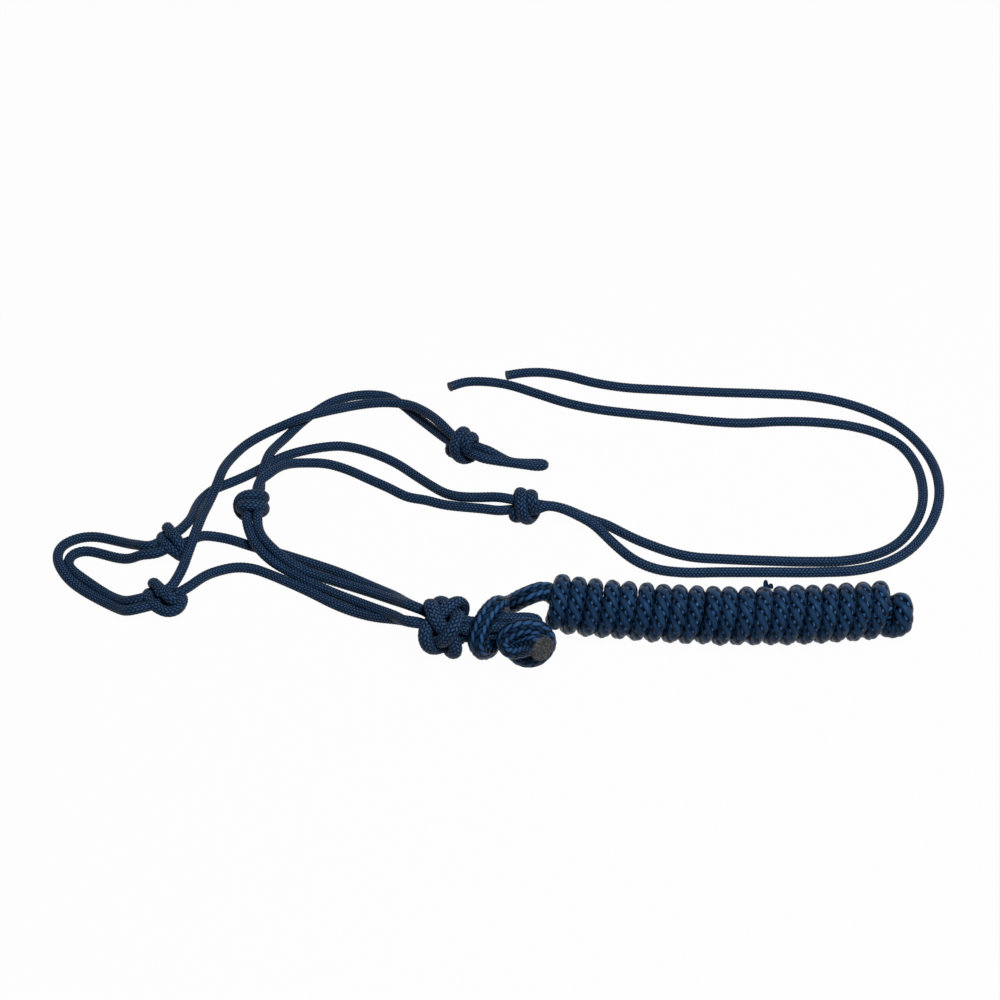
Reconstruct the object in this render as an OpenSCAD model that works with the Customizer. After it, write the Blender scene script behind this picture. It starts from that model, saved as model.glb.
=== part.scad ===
// Rope halter for a horse's head, with its lead rope tied on and wound in a hank.
// The halter is one knotted cord; each stretch, knot and loop of it is a piece here.
// Millimetres. +X runs from the noseband to the crown tails, +Z is up, the floor is z = 0.

/* [Halter cord] */
// Diameter of the halter cord
cord_d = 8; // [6:0.1:8.2]
// Diameter of the cord where a knot squeezes it
knot_d = 6.4; // [5:0.1:6.6]
// Gap between the cords inside a knot
knot_gap = 0.3; // [0.2:0.05:0.5]
// Straight cord that stands out of each end of an overhand knot
knot_stub = 2.4; // [1.5:0.1:4]
// Length of the melted tip on each crown tail
tip_len = 3; // [2:0.5:6]

/* [Fiador knot] */
// Bights round each rim of the woven fiador knot
fiador_bights = 4; // [4:1:5]
// Length of the woven fiador knot along its core
fiador_len = 32; // [30:0.5:38]
// Straight cord that stands out of each end of the fiador knot
fiador_stub = 3; // [2:0.5:6]

/* [Lead rope] */
// Diameter of the lead rope
lead_d = 14; // [12:0.1:14.2]
// Thickness of the melted seal on the end of the lead
seal_len = 2.5; // [1.5:0.5:4]

/* [Hank] */
// Turns wound round the hank
hank_turns = 20; // [10:1:21]
// Width of one squeezed turn along the hank
turn_w = 11.8; // [10:0.1:12]
// Gap between neighbouring turns
turn_gap = 0.6; // [0.5:0.1:1]
// Thickness of the core that the turns are wound on
core_d = 15; // [13:0.5:16]
// Gap between the core and the turns
core_gap = 0.5; // [0.5:0.1:1]
// How far the middle of the hank bows towards the front
hank_bow = 9; // [0:1:12]

/* [Joints] */
// Clearance round each ball where a cord flexes
joint_gap = 0.4; // [0.3:0.05:0.8]

/* [Hidden] */

cord_colour = [0.13, 0.19, 0.29];
lead_colour = [0.10, 0.17, 0.30];
seal_colour = [0.22, 0.23, 0.25];

// Sides of the swept cords, and the share of a diameter that lies flat on the floor
cord_sides = 8;
turn_sides = 6;
flat_share = 0.1;
// Longest step between rings, in diameters
free_step = 2.6;
bent_step = 1.3;
knot_step = 0.85;

cord_r = cord_d / 2;
lead_r = lead_d / 2;
// Height of a cord's centre on the floor, and of one that crosses over another
floor_z = cord_r - flat_share * cord_d;
over_z = floor_z + cord_d + joint_gap;
lead_floor_z = lead_r - flat_share * lead_d;
// The routes are measured from a point beside the crown knot; this is the middle of the whole
middle = [5.54, -18.57, 0];

// Small vector helpers
function unit(v) = v / norm(v);
function plan(angle) = [cos(angle), sin(angle), 0];
function at_height(p, z) = [p.x, p.y, z];
function chord(p, i) = norm(p[i + 1] - p[i]);
function reversed(p) = [for (i = [len(p) - 1 : -1 : 0]) p[i]];

// A smooth curve through hand-chosen points, its slopes weighted by the chords on each side
function slope(p, i) =
    i == 0 ? unit(p[1] - p[0]) :
    i == len(p) - 1 ? unit(p[i] - p[i - 1]) :
    let (before = chord(p, i - 1), after = chord(p, i))
    ((p[i + 1] - p[i]) * before / after + (p[i] - p[i - 1]) * after / before) / (before + after);

function between(p, i, t) =
    let (d = chord(p, i), s0 = slope(p, i) * d, s1 = slope(p, i + 1) * d)
    (2 * t * t * t - 3 * t * t + 1) * p[i] + (t * t * t - 2 * t * t + t) * s0
    + (3 * t * t - 2 * t * t * t) * p[i + 1] + (t * t * t - t * t) * s1;

function smooth(p, step) = [
    for (i = [0 : len(p) - 2])
        let (n = max(1, ceil(chord(p, i) / step)))
        for (k = [0 : n - 1]) between(p, i, k / n),
    p[len(p) - 1]];

// Directions along a line of ring centres, and one steady side direction for each ring
function heading_at(p, i) = unit(p[min(i + 1, len(p) - 1)] - p[max(i - 1, 0)]);
function square_to(v, along) = unit(v - (v * along) * along);
function sides_along(p, first) = [
    for (i = 0, n = square_to(first, heading_at(p, 0));
         i < len(p);
         n = square_to(n, heading_at(p, min(i + 1, len(p) - 1))), i = i + 1) n];

// One closed tube: ring centres, a radius for each ring, and nothing below the floor
module tube(p, radii, sides = cord_sides, first = [0, 0, 1]) {
    n = len(p);
    up = sides_along(p, first);
    rings = [
        for (i = [0 : n - 1])
            let (across = cross(heading_at(p, i), up[i]))
            for (k = [0 : sides - 1])
                let (a = 360 * (k + 0.5) / sides, v = p[i] + radii[i] * (cos(a) * up[i] + sin(a) * across))
                at_height(v, max(v.z, 0))];
    closed_skin(rings, n, sides);
}

// Every solid is laid in the part's own frame, whose origin is under the middle of the whole
module solid(points, faces) {
    translate(-middle) polyhedron(points = points, faces = faces, convexity = 10);
}

// Triangles round a list of rings, with a fan over each end
module closed_skin(rings, n, sides) {
    walls = [
        for (i = [0 : n - 2])
            for (k = [0 : sides - 1])
                let (a = i * sides + k, b = i * sides + (k + 1) % sides)
                each [[a, a + sides, b + sides], [a, b + sides, b]]];
    start_fan = [for (k = [1 : sides - 2]) [0, k, k + 1]];
    last = (n - 1) * sides;
    end_fan = [for (k = [1 : sides - 2]) [last, last + k + 1, last + k]];
    solid(rings, concat(walls, start_fan, end_fan));
}

function steady(p, r) = [for (q = p) r];

// A cord of one thickness along hand-chosen points
module cord(points, d = cord_d, step = free_step) {
    p = smooth(points, step * d);
    tube(p, steady(p, d / 2));
}

// Rings of the round end of a flexing cord, centred on its hinge
ball_angles = [78, 50, 25];
function ball_rings(centre, out, r) = [for (a = ball_angles) centre + out * r * sin(a)];
function ball_radii(r) = [for (a = ball_angles) r * cos(a)];

// A cord whose first end is a ball on a hinge
module hinged_cord(points, d = cord_d, step = free_step) {
    p = smooth(points, step * d);
    ball = ball_rings(p[0], unit(p[0] - p[1]), d / 2);
    tube(concat(ball, p), concat(ball_radii(d / 2), steady(p, d / 2)));
}

// A cord with a ball on a hinge at both ends
module twice_hinged_cord(points, d = cord_d, step = free_step) {
    p = smooth(points, step * d);
    m = len(p) - 1;
    head = ball_rings(p[0], unit(p[0] - p[1]), d / 2);
    tail = reversed(ball_rings(p[m], unit(p[m] - p[m - 1]), d / 2));
    r = ball_radii(d / 2);
    tube(concat(head, p, tail), concat(r, steady(p, d / 2), reversed(r)));
}

// The overhand knots: two cords go in side by side at the back, each wraps the other pair
// for three quarters of a turn, and they come out one above the other at the front.
knot_pitch = knot_d + knot_gap;
knot_core_r = knot_pitch / sqrt(2);
knot_wrap_r = knot_core_r + knot_pitch;
knot_lead = 2.06 * knot_pitch;
knot_turn = 270;
knot_half = knot_lead * knot_turn / 720;
knot_bight = knot_pitch / 2;
knot_reach = knot_half + knot_bight + knot_d / 2 + knot_stub;
knot_z = knot_wrap_r + knot_d / 2 - flat_share * knot_d;
wrap_angles = [55, 80, 107.5];

function round_axis(x, r, a) = [x, r * cos(a), r * sin(a)];
// First half of one cord's way through the knot, from its back to the middle of its wrap
function knot_half_way() = concat(
    [round_axis(-knot_reach, knot_core_r, 0), round_axis(-knot_half, knot_core_r, 0),
     round_axis(0, knot_core_r, 0), round_axis(knot_half - 0.2 * knot_bight, knot_core_r, 0),
     round_axis(knot_half + 0.8 * knot_bight, knot_core_r + 0.35 * knot_bight, 1),
     round_axis(knot_half + 1.05 * knot_bight, knot_core_r + 1.25 * knot_bight, 8),
     round_axis(knot_half + 0.35 * knot_bight, knot_wrap_r - 0.1 * knot_bight, 24)],
    [for (a = wrap_angles) round_axis(knot_half - knot_lead * a / 360, knot_wrap_r, a)]);
// The second half is the first turned about and run backwards
function turned_about(q) =
    [-q.x, cos(knot_turn) * q.y + sin(knot_turn) * q.z, sin(knot_turn) * q.y - cos(knot_turn) * q.z];
function knot_way() =
    let (half = knot_half_way())
    concat(half, [round_axis(0, knot_wrap_r, knot_turn / 2)], [for (q = reversed(half)) turned_about(q)]);

// Each knot: centre in plan, direction of its front in plan
off_nose = [[-257, -60], 42];
near_nose = [[-257, -119], 20];
throat = [[-194, -17], 85];
tie = [[-30, 49], 150];
crown = [[20, -21], 165];

function placed(knot, q) =
    let (f = plan(knot[1]), s = plan(knot[1] + 90))
    [knot[0].x, knot[0].y, knot_z] + q.x * f + q.y * s + [0, 0, q.z];
// Where the cords leave a knot: left and right at the back, low and high at the front
function back_left(knot) = placed(knot, round_axis(-knot_reach, knot_core_r, 0));
function back_right(knot) = placed(knot, round_axis(-knot_reach, knot_core_r, 180));
function front_low(knot) = placed(knot, round_axis(knot_reach, knot_core_r, 270));
function front_high(knot) = placed(knot, round_axis(knot_reach, knot_core_r, 90));
// The exit and one more point straight out of it
function out_front(p, knot) = [p, p + plan(knot[1]) * cord_d * 0.7];
function into_front(p, knot) = reversed(out_front(p, knot));
function out_back(p, knot) = [p, p - plan(knot[1]) * cord_d * 0.7];

// An overhand knot, with its two back ends carried on as far as any points given
module overhand_knot(knot, left_end = [], right_end = []) {
    way = knot_way();
    for (half_turn = [0, 180]) {
        inside = [
            for (q = way)
                placed(knot, [q.x, cos(half_turn) * q.y, cos(half_turn) * q.z])];
        p = concat(half_turn == 0 ? left_end : right_end, smooth(inside, knot_step * knot_d));
        tube(p, steady(p, knot_d / 2), first = plan(knot[1] + 45));
    }
}

// A stub that stops short of the ball on a hinge
function short_of(ball, from, r = cord_r) = ball + unit(from - ball) * (r + joint_gap);

// Hinge points, where the cord of a moving loop starts
off_outer_hinge = [-276.5, -64, knot_z];
off_inner_hinge = [-276.5, -73, knot_z];
near_inner_hinge = [-276.5, -121, knot_z];
near_outer_hinge = [-276.5, -131, knot_z];
crown_long_hinge = [42, -21, knot_z];
crown_short_hinge = [49, -31, knot_z];
tie_back_hinge = [-9.5, 43, knot_z];
tie_front_hinge = [-14.5, 34.4, knot_z];
lead_hinge = [23, -130, 31];

// The woven fiador knot: one closed cord over and under itself round four cords of the core
fiador = [-41, -153];
fiador_heading = -10;
fiador_leads = 3;
weave_rise = 0.53 * knot_d;
core_pitch = cord_d + knot_gap;
fiador_bore_r = core_pitch / sqrt(2) + knot_d / 2 + knot_gap;
weave_r = fiador_bore_r + knot_d / 2 + weave_rise;
fiador_z = weave_r + weave_rise + knot_d / 2 - flat_share * knot_d;
fiador_reach = fiador_len / 2 + fiador_stub;
weave_rings = 60;

function in_fiador(x, y, z) =
    [fiador.x, fiador.y, fiador_z] + x * plan(fiador_heading) + y * plan(fiador_heading + 90) + [0, 0, z];
function weave(t) =
    let (r = weave_r + weave_rise * sin(2 * fiador_bights * t), a = fiador_leads * t + 20,
         x = (fiador_len - knot_d) / 2 * cos(fiador_bights * t))
    in_fiador(x, r * cos(a), r * sin(a));
function core_place(side, high, x) = in_fiador(x, side * core_pitch / 2, high * core_pitch / 2);
function chin_end(side, high) =
    [core_place(side, high, -fiador_reach - cord_d * 0.8), core_place(side, high, -fiador_reach)];
function loop_start(side, high) =
    [core_place(side, high, fiador_reach), core_place(side, high, fiador_reach + cord_d * 0.5)];

// A closed cord has its last ring joined to its first
module closed_cord(p, r, sides) {
    n = len(p);
    rings = [
        for (i = [0 : n - 1])
            let (t = unit(p[(i + 1) % n] - p[(i + n - 1) % n]), axis_side = unit(p[i] - in_fiador(0, 0, 0)),
                 u = square_to(axis_side, t), w = cross(t, u))
            for (k = [0 : sides - 1])
                let (a = 360 * (k + 0.5) / sides, v = p[i] + r * (cos(a) * u + sin(a) * w))
                at_height(v, max(v.z, 0))];
    walls = [
        for (i = [0 : n - 1])
            for (k = [0 : sides - 1])
                let (j = (i + 1) % n, a = i * sides + k, b = i * sides + (k + 1) % sides,
                     c = j * sides + (k + 1) % sides, d = j * sides + k)
                each [[a, d, c], [a, c, b]]];
    solid(rings, walls);
}

// Routes of the halter's cords between the knots
noseband_outer_route = concat(
    [off_outer_hinge],
    [[-288, -55, floor_z + 3], [-303, -48, floor_z], [-318, -44, floor_z], [-330, -45, floor_z],
     [-340, -51, floor_z + 1], [-345, -61, floor_z + 4], [-345, -71, floor_z + 4], [-340, -81, floor_z + 4],
     [-332, -90, floor_z + 2], [-321, -99, floor_z], [-308, -108, floor_z], [-295, -116, floor_z],
     [-286, -123, floor_z + 3]],
    [near_outer_hinge]);
noseband_inner_route = concat(
    [off_inner_hinge],
    [[-286, -71, floor_z + 3], [-298, -67, floor_z], [-312, -62, floor_z], [-325, -59, floor_z],
     [-332.5, -62, floor_z], [-336, -69, floor_z], [-333, -76, floor_z], [-325, -82, floor_z],
     [-315, -88, floor_z], [-304, -94, floor_z], [-293, -102, floor_z], [-285, -111, floor_z + 3]],
    [near_inner_hinge]);

near_cheek_route = concat(
    out_front(front_high(near_nose), near_nose),
    [[-237, -99, 18], [-236, -80, 17], [-233.5, -55, 17], [-232, -32, 15], [-230, -12, over_z],
     [-227, 6, over_z + 0.8], [-225, 22, over_z - 0.6], [-219, 46, 5], [-210, 62, floor_z], [-197, 72, 5],
     [-180, 79, 9], [-166, 84, over_z + 1], [-151, 91, over_z + 0.5], [-138, 99, 9], [-122, 106, 7],
     [-104, 107, 9], [-88, 104, over_z], [-76, 101, over_z + 0.5], [-66, 96, 14], [-56, 85, 17]],
    into_front(front_high(tie), tie));
off_cheek_route = concat(
    out_front(front_high(off_nose), off_nose),
    [[-243, -38, 15], [-243, -22, 10], [-240, -4, 5], [-231, 9, floor_z], [-221, 15, floor_z],
     [-210, 22, floor_z], [-199, 30, floor_z], [-189, 39, floor_z], [-177, 48, floor_z],
     [-160, 55, floor_z], [-144, 59, floor_z], [-131, 60, floor_z], [-118, 57, floor_z],
     [-102, 50, floor_z], [-86, 40, floor_z], [-68, 24, floor_z], [-54, 11, 4], [-42, 1, 7],
     [-29, -7, 11], [-14, -13, 16]],
    into_front(front_high(crown), crown));
near_throat_route = concat(
    out_front(front_low(throat), throat),
    [[-193, 12, 11], [-191, 25, 13], [-189, 38, over_z + 1], [-185, 55, 7], [-179, 69, floor_z],
     [-167, 88, floor_z], [-155, 103, floor_z], [-142, 115, floor_z], [-126, 122, floor_z],
     [-110, 124, floor_z], [-95, 121, floor_z], [-83, 111, floor_z], [-71, 97, floor_z], [-59, 82, 5]],
    into_front(front_low(tie), tie));
off_throat_route = concat(
    out_front(front_high(throat), throat),
    [[-186, 11, 18], [-180, 23, 14], [-171, 34, 8], [-159, 39, 4], [-143, 39, floor_z],
     [-125, 32, floor_z], [-107, 21, floor_z], [-89, 10, floor_z], [-74, 0, floor_z],
     [-59, -7, floor_z], [-43, -12, 4], [-27, -15, 6], [-12, -16, 8]],
    into_front(front_low(crown), crown));
near_throat_drop_route = concat(
    out_back(back_left(throat), throat),
    [[-200, -46, 12.5], [-196, -58, over_z + 0.5], [-189, -70, 10], [-178, -79, 6], [-164, -87, floor_z],
     [-147, -95, floor_z], [-128, -104, floor_z], [-111, -113, 5], [-95, -125, 9.8], [-81, -139, 16.8]],
    chin_end(-1, 1));
off_throat_drop_route = concat(
    out_back(back_right(throat), throat),
    [[-190, -46, 12.5], [-186, -55, over_z + 0.5], [-179, -64, over_z + 0.5], [-169, -71, 9], [-155, -78, 5],
     [-140, -85, floor_z], [-124, -92, 4], [-109, -102, 8], [-95, -113, 15], [-80, -130, 26]],
    chin_end(1, 1));
off_chin_route = concat(
    out_front(front_low(off_nose), off_nose),
    [[-234, -45, 6.5], [-224, -44, floor_z], [-212, -47, floor_z], [-200, -52, floor_z],
     [-188, -57, floor_z], [-175, -61, floor_z], [-160, -66, floor_z], [-144, -73, floor_z],
     [-128, -80, floor_z], [-112, -90, floor_z], [-97, -102, 5], [-83, -119, 10]],
    chin_end(1, -1));
near_chin_route = concat(
    out_front(front_low(near_nose), near_nose),
    [[-233, -103, 6], [-226, -91, floor_z], [-217, -83, floor_z], [-207, -80, floor_z],
     [-195, -81, floor_z], [-179, -89.5, floor_z], [-163, -98, floor_z], [-147, -107, floor_z],
     [-128, -117, floor_z], [-111, -126, floor_z], [-96, -135, 4.5], [-82, -145, 9]],
    chin_end(-1, -1));

tie_loop_route = [
    tie_back_hinge, [-2, 41.8, 9.5], [8, 40.2, 4.2], [20, 39.2, floor_z], [31.5, 38.6, floor_z],
    [34.7, 37.7, floor_z + 0.9], [36, 35.6, floor_z + 3], [34.7, 33.5, floor_z + 5.1],
    [31.5, 32.6, floor_z + 6], [20, 33, floor_z + 6], [8, 33.6, floor_z + 6.3], [-4, 34, 11.5], tie_front_hinge];

crown_long_route = [
    crown_long_hinge, [52, -19, 10], [65, -19, 5], [79, -26, floor_z], [92, -38, floor_z],
    [109, -50, floor_z], [125, -58, floor_z], [145, -65, floor_z], [172, -68, floor_z],
    [208, -70, floor_z], [242, -71, floor_z], [268, -70, floor_z], [291, -64, floor_z],
    [310, -53, floor_z], [324, -37, floor_z], [337, -12, floor_z], [342, 14, floor_z],
    [340, 41, floor_z], [331, 62, floor_z], [316, 75, floor_z], [295, 84, floor_z],
    [267, 89, floor_z], [235, 90, floor_z], [205, 88, floor_z], [170, 91, floor_z],
    [140, 96, floor_z], [112, 100, floor_z], [84, 105, floor_z], [55, 114, floor_z],
    [28, 127, floor_z], [6, 137, floor_z], [-14, 141, floor_z], [-31, 140, floor_z], [-43, 134, floor_z]];
crown_short_route = [
    crown_short_hinge, [60, -31, 9], [71, -34, 4], [82, -41, floor_z], [95, -53, floor_z],
    [109, -66, floor_z], [124, -76, floor_z], [143, -81, floor_z], [170, -82, floor_z],
    [208, -82, floor_z], [246, -82, floor_z], [275, -80, floor_z], [298, -73, floor_z],
    [318, -60, floor_z], [335, -40, floor_z], [348, -16, floor_z], [355, 10, floor_z],
    [355, 37, floor_z], [348, 61, floor_z], [335, 83, floor_z], [315, 101, floor_z],
    [291, 114, floor_z], [263, 122, floor_z], [229, 125, floor_z], [186, 127, floor_z],
    [143, 130, floor_z], [102, 134, floor_z], [79, 140, floor_z], [56, 149, floor_z],
    [36, 153, floor_z], [18, 152, floor_z], [6, 149, floor_z]];

// The loops that hang from the fiador knot, level with each other and one above the other
loop_side = cord_r + knot_gap;
loop_level = fiador_z;
loop_y = -153.5;
loop_end_x = 28;
function loop_route(high) =
    let (z = loop_level + high * loop_side, r = loop_side + 0.3)
    concat(
        loop_start(-1, high),
        [[-6, loop_y - loop_side, z], [6, loop_y - loop_side, z], [loop_end_x - r, loop_y - loop_side, z],
         [loop_end_x - 0.3 * r, loop_y - 0.7 * r, z], [loop_end_x, loop_y, z],
         [loop_end_x - 0.3 * r, loop_y + 0.7 * r, z],
         [loop_end_x - r, loop_y + loop_side, z], [6, loop_y + loop_side, z], [-6, loop_y + loop_side, z]],
        reversed(loop_start(1, high)));

// The lead dives behind the loops, goes under and up in front of them, over the top and down again,
// comes out in front and curls round to a short end that points up and to the right
hitch_route = [
    short_of(lead_hinge, [14, -129.5, 24.5], lead_r), [14, -129.5, 24.5], [9.5, -125.5, 16], [4, -121.5, 8.5],
    [-3, -121, lead_floor_z], [-10, -126, lead_floor_z], [-14, -138, lead_floor_z], [-16, -152, lead_floor_z],
    [-17.5, -168, 8.2], [-18, -174, 18], [-17, -172.4, 28], [-13.5, -164, 37], [-8, -152, 39.4], [-4, -142, 36.5],
    [-2, -136.5, 28], [-1, -135.5, 18], [2, -138, 9], [6, -146, lead_floor_z], [9, -156, lead_floor_z],
    [12, -166, 6.5], [18, -171.5, 8], [26, -172, 9.5], [32, -170.5, 16], [33.5, -170, 27], [28, -169, 35.5],
    [20, -168.5, 38], [10, -170, 36], [4, -172, 28.5], [8, -175, 22.5], [16, -177, 23], [24, -182, 27.5],
    [30.5, -187.5, 33]];

// The hank: the lead runs through as its core, turns over at the right and winds back round it
turn_pitch = turn_w + turn_gap;
wind_r = core_d / 2 + core_gap + lead_r;
hank_z = wind_r + lead_r - flat_share * lead_d;
hank_left = 37.8;
hank_right = hank_left + hank_turns * turn_pitch;
hank_left_y = -129;
hank_right_y = -136;
rings_a_turn = 24;

function hank_share(x) = (x - hank_left) / (hank_right - hank_left);
function hank_axis(x) = [
    x,
    hank_left_y + (hank_right_y - hank_left_y) * hank_share(x)
        - hank_bow * sin(180 * min(1, max(0, hank_share(x)))),
    hank_z];
// Angle round the hank: 0 at the front, 90 at the top; a turn starts and ends underneath
function turn_angle(i) = 360 * i / rings_a_turn - 90;
function out_of_hank(a) = [0, -cos(a), sin(a)];
// The turns lean, and the first is tucked in narrower against the second
hank_lean = 1.3;
hank_tuck = 2;
first_ring = 4;
function tucked(i) = hank_tuck * max(0, 1 - i / rings_a_turn);
function turn_width(i) = turn_w - 2 * tucked(i);
function turn_centre(i) =
    hank_axis(hank_left + turn_pitch * i / rings_a_turn) + wind_r * out_of_hank(turn_angle(i))
    + [tucked(i) + hank_lean * sin(turn_angle(i)), 0, 0];
wound_rings = [for (i = [first_ring : hank_turns * rings_a_turn]) i];
wound = [for (i = wound_rings) turn_centre(i)];
wound_last = len(wound) - 1;
wind_end = wound[wound_last];
wind_end_way = unit(wind_end - wound[wound_last - 1]);

// Least gap between neighbouring turns, measured on points across the turn
turn_gaps = [
    for (k = [0 : wound_last - rings_a_turn])
        norm(wound[k + rings_a_turn] - wound[k])
        - (turn_width(wound_rings[k]) + turn_width(wound_rings[k + rings_a_turn])) / 2];
echo(least_gap_between_turns = min(turn_gaps));

module turn_ring_tube() {
    n = len(wound);
    rings = [
        for (k = [0 : n - 1])
            let (out = out_of_hank(turn_angle(wound_rings[k])), half = turn_width(wound_rings[k]) / 2,
                 t = heading_at(wound, k), u = square_to(out, t), w = cross(t, u))
            for (j = [0 : turn_sides - 1])
                let (a = 360 * (j + 0.5) / turn_sides, v = wound[k] + lead_r * cos(a) * u + half * sin(a) * w)
                at_height(v, max(v.z, 0))];
    closed_skin(rings, n, turn_sides);
}

core_start_x = hank_left + 6;
core_end_x = hank_right + 4;
core_points = [for (k = [0 : 8]) hank_axis(core_start_x + (core_end_x - core_start_x) * k / 8)];
core_first = core_points[0];
core_last = core_points[8];
core_first_way = unit(core_points[1] - core_first);
core_last_way = unit(core_last - core_points[7]);
run_route = [
    lead_hinge, [31.5, -127.8, 25.5], core_first - core_first_way * lead_d * 0.35, core_first];
end_loop_route = [
    core_last, core_last + core_last_way * 4, [core_last.x + 9.5, core_last.y + 4, hank_z + 4],
    [core_last.x + 13.5, core_last.y - 2, hank_z + 2], [core_last.x + 13.5, core_last.y - 9, hank_z - 5],
    [core_last.x + 9, core_last.y - 13.5, hank_z - 11.5], wind_end + wind_end_way * 8, wind_end];

// Knots
module off_nose_knot() {
    color(cord_colour) overhand_knot(off_nose,
        [short_of(off_outer_hinge, back_left(off_nose))], [short_of(off_inner_hinge, back_right(off_nose))]);
}
module near_nose_knot() {
    color(cord_colour) overhand_knot(near_nose,
        [short_of(near_inner_hinge, back_left(near_nose))], [short_of(near_outer_hinge, back_right(near_nose))]);
}
module throat_knot() { color(cord_colour) overhand_knot(throat); }
module tie_loop_knot() {
    color(cord_colour) overhand_knot(tie,
        [short_of(tie_front_hinge, back_left(tie))], [short_of(tie_back_hinge, back_right(tie))]);
}
module crown_knot() {
    color(cord_colour) overhand_knot(crown,
        [short_of(crown_short_hinge, back_left(crown))], [short_of(crown_long_hinge, back_right(crown))]);
}
module fiador_knot() {
    color(cord_colour) {
        closed_cord([for (i = [0 : weave_rings - 1]) weave(360 * i / weave_rings)], knot_d / 2, cord_sides);
        for (side = [-1, 1], high = [-1, 1]) {
            p = [core_place(side, high, -fiador_reach), core_place(side, high, fiador_reach)];
            tube(p, steady(p, knot_d / 2));
        }
    }
}

// Cords of the halter
module noseband_outer() { color(cord_colour) twice_hinged_cord(noseband_outer_route, step = bent_step); }
module noseband_inner() { color(cord_colour) twice_hinged_cord(noseband_inner_route, step = bent_step); }
module off_cheek() { color(cord_colour) cord(off_cheek_route); }
module near_cheek() { color(cord_colour) cord(near_cheek_route); }
module off_chin() { color(cord_colour) cord(off_chin_route); }
module near_chin() { color(cord_colour) cord(near_chin_route); }
module off_throat() { color(cord_colour) cord(off_throat_route); }
module near_throat() { color(cord_colour) cord(near_throat_route); }
module off_throat_drop() { color(cord_colour) cord(off_throat_drop_route); }
module near_throat_drop() { color(cord_colour) cord(near_throat_drop_route); }
module tie_loop() { color(cord_colour) twice_hinged_cord(tie_loop_route, step = bent_step); }
module crown_tail_long() { color(cord_colour) hinged_cord(crown_long_route); }
module crown_tail_short() { color(cord_colour) hinged_cord(crown_short_route); }

// A melted tip, drawn in a little towards its end
module melted_tip(route) {
    m = len(route) - 1;
    along = unit(route[m] - route[m - 1]);
    p = [for (share = [0, 0.6, 1]) route[m] + along * tip_len * share];
    color(seal_colour) tube(p, [cord_r, cord_r, cord_r * 0.7]);
}
module crown_tip_long() { melted_tip(crown_long_route); }
module crown_tip_short() { melted_tip(crown_short_route); }

// Loops, hitch and lead
module lead_loop_upper() { color(cord_colour) cord(loop_route(1), step = bent_step); }
module lead_loop_lower() { color(cord_colour) cord(loop_route(-1), step = bent_step); }
hitch_line = smooth(hitch_route, 0.7 * lead_d);
module lead_hitch() { color(lead_colour) tube(hitch_line, steady(hitch_line, lead_r)); }
module lead_end_seal() {
    m = len(hitch_line) - 1;
    along = unit(hitch_line[m] - hitch_line[m - 1]);
    p = [for (share = [0, 0.5, 1]) hitch_line[m] + along * seal_len * share];
    color(seal_colour) tube(p, [lead_r, lead_r, lead_r * 0.8]);
}
module lead_run() { color(lead_colour) hinged_cord(run_route, d = lead_d, step = 0.7); }
module hank_core() { color(lead_colour) tube(core_points, steady(core_points, core_d / 2)); }
module hank_turns_coil() { color(lead_colour) turn_ring_tube(); }
module hank_end_loop() { color(lead_colour) cord(end_loop_route, d = turn_w, step = 0.7); }

off_nose_knot();
near_nose_knot();
throat_knot();
tie_loop_knot();
crown_knot();
fiador_knot();
noseband_outer();
noseband_inner();
off_cheek();
near_cheek();
off_chin();
near_chin();
off_throat();
near_throat();
off_throat_drop();
near_throat_drop();
tie_loop();
crown_tail_long();
crown_tail_short();
crown_tip_long();
crown_tip_short();
lead_loop_upper();
lead_loop_lower();
lead_hitch();
lead_end_seal();
lead_run();
hank_core();
hank_turns_coil();
hank_end_loop();
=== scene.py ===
import math

import bpy
import numpy as np
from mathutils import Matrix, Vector


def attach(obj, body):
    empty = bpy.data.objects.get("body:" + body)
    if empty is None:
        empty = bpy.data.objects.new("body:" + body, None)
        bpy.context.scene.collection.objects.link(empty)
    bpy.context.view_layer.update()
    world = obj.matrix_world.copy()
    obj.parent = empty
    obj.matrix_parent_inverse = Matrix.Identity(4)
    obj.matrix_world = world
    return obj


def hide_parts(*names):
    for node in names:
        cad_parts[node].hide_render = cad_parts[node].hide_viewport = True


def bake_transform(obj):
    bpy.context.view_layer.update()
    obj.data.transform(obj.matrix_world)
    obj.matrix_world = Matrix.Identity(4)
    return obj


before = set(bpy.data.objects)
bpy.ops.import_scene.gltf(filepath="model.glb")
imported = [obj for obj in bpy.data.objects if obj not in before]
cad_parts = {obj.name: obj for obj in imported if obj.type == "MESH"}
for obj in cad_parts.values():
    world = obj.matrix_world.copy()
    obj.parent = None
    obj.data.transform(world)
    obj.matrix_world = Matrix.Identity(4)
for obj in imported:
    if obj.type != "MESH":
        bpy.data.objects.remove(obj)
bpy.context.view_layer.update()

# One millimetre in metres
MM = 0.001

# Sizes in millimetres, the same as in the part's source
MIDDLE = np.array([5.54, -18.57, 0.0])
CORD_R = 4.0
LEAD_R = 7.0
FLOOR_Z = 3.2
OVER_Z = 11.6
LEAD_FLOOR_Z = 5.6
KNOT_D = 6.4
KNOT_PITCH = 6.7
KNOT_Z = 13.998


# Curves

# Points drawn between two points of a route
CURVE_STEPS = 16


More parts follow.
